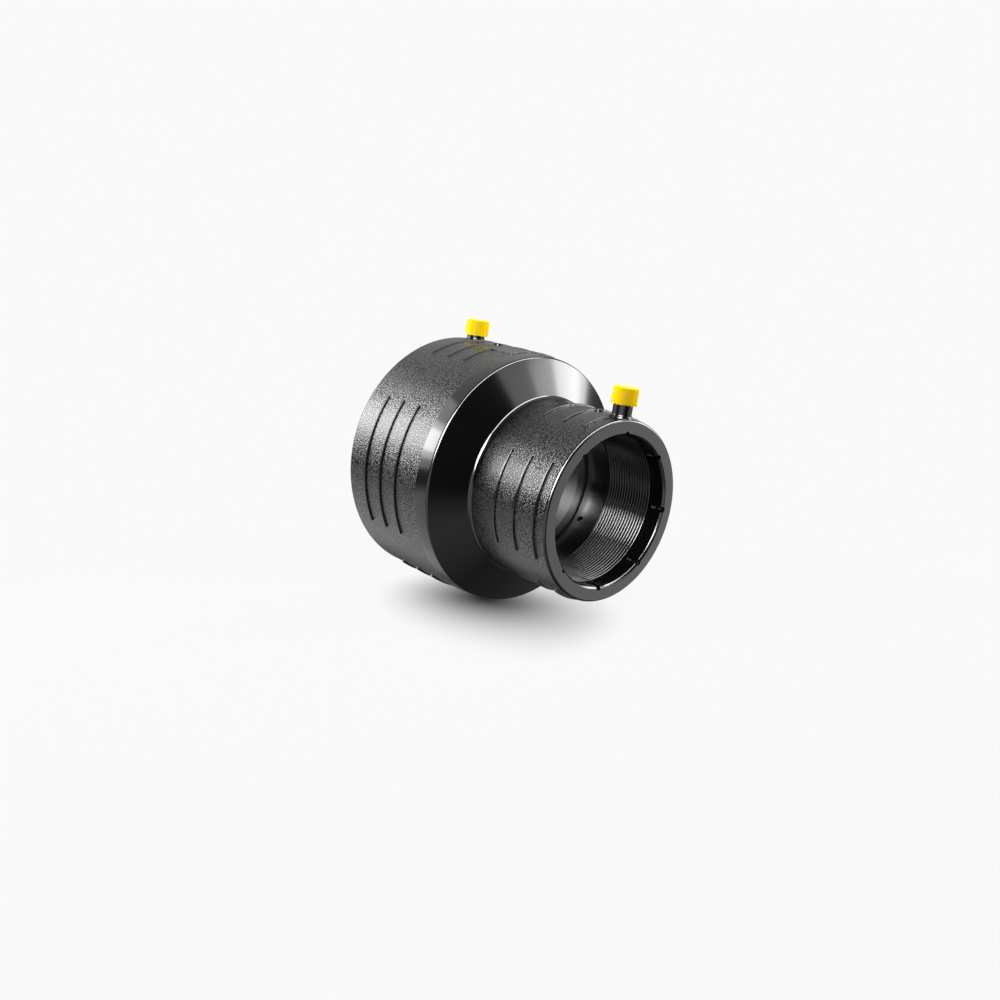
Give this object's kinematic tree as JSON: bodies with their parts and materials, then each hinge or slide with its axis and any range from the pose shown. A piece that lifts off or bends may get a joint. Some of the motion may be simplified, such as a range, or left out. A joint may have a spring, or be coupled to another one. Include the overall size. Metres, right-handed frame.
{
  "type": "pipe reducer",
  "caption": "Black plastic electrofusion reducer joining a larger and a smaller pipe, with a wound heating wire in both sockets and two capped terminal posts.",
  "frame": {"origin": "centre of the large mouth's plane, on the pipe axis", "axes": "+Z along the pipe axis from the large mouth to the small mouth, -X towards the terminal posts"},
  "size_m": [0.2114, 0.1966, 0.1889],
  "materials": {
    "moulding": "black polyethylene, grained on the barrels and smooth on the cone",
    "wire": "coated wire, fused turn to turn",
    "pin": "tinned",
    "cap": "yellow, smooth",
    "indicator": "black polyethylene"
  },
  "bodies": {
    "root": {"body": "moulding", "heating_winding": "wire", "terminal_pin_large": "pin", "terminal_pin_small": "pin", "terminal_cap_large": "cap", "terminal_cap_small": "cap", "fusion_indicator_large": "indicator", "fusion_indicator_small": "indicator"}
  },
  "joints": []
}
